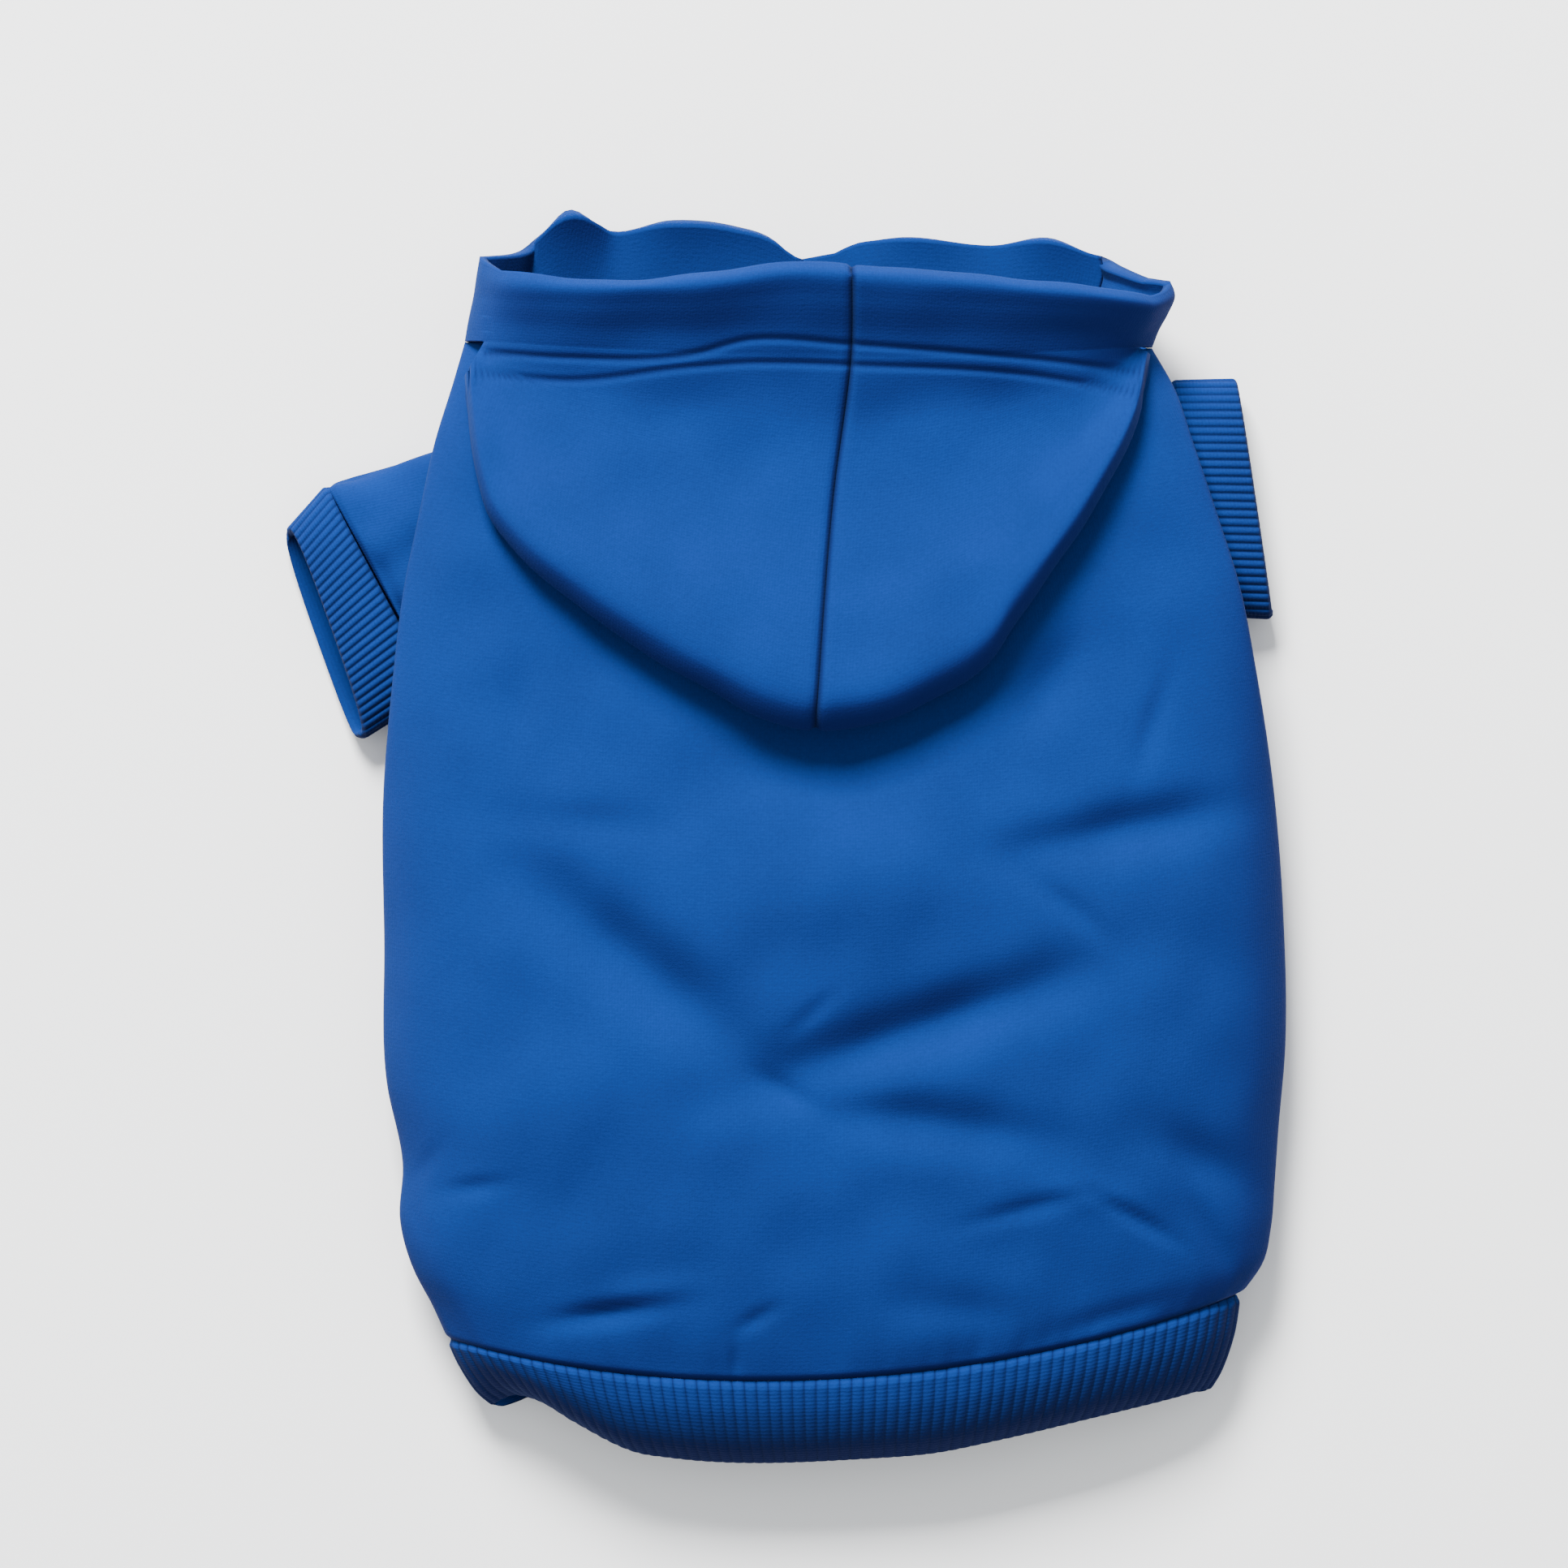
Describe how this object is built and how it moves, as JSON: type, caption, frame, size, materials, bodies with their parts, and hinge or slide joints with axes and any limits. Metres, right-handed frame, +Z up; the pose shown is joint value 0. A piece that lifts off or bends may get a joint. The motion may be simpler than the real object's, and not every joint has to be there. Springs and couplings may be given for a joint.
{
  "type": "dog hoodie",
  "caption": "Hooded fleece pullover for a dog, laid flat on its belly, with short sleeves, rib-knit cuffs and waistband, and the hood folded down over the back.",
  "frame": {"origin": "on the floor, under the middle of the lying garment's outline", "axes": "+Y from the waist towards the hood along the body, +X across the body, +Z up from the floor, which the belly lies on"},
  "size_m": [0.322, 0.4004, 0.0585],
  "materials": {
    "fleece": "matte brushed fleece",
    "rib": "matte rib knit"
  },
  "bodies": {
    "root": {"back_panel": "fleece", "belly_panel": "fleece", "sleeve_left": "fleece", "sleeve_right": "fleece", "cuff_left": "rib", "cuff_right": "rib", "waistband": "rib", "hood_left": "fleece", "hood_right": "fleece"}
  },
  "joints": []
}
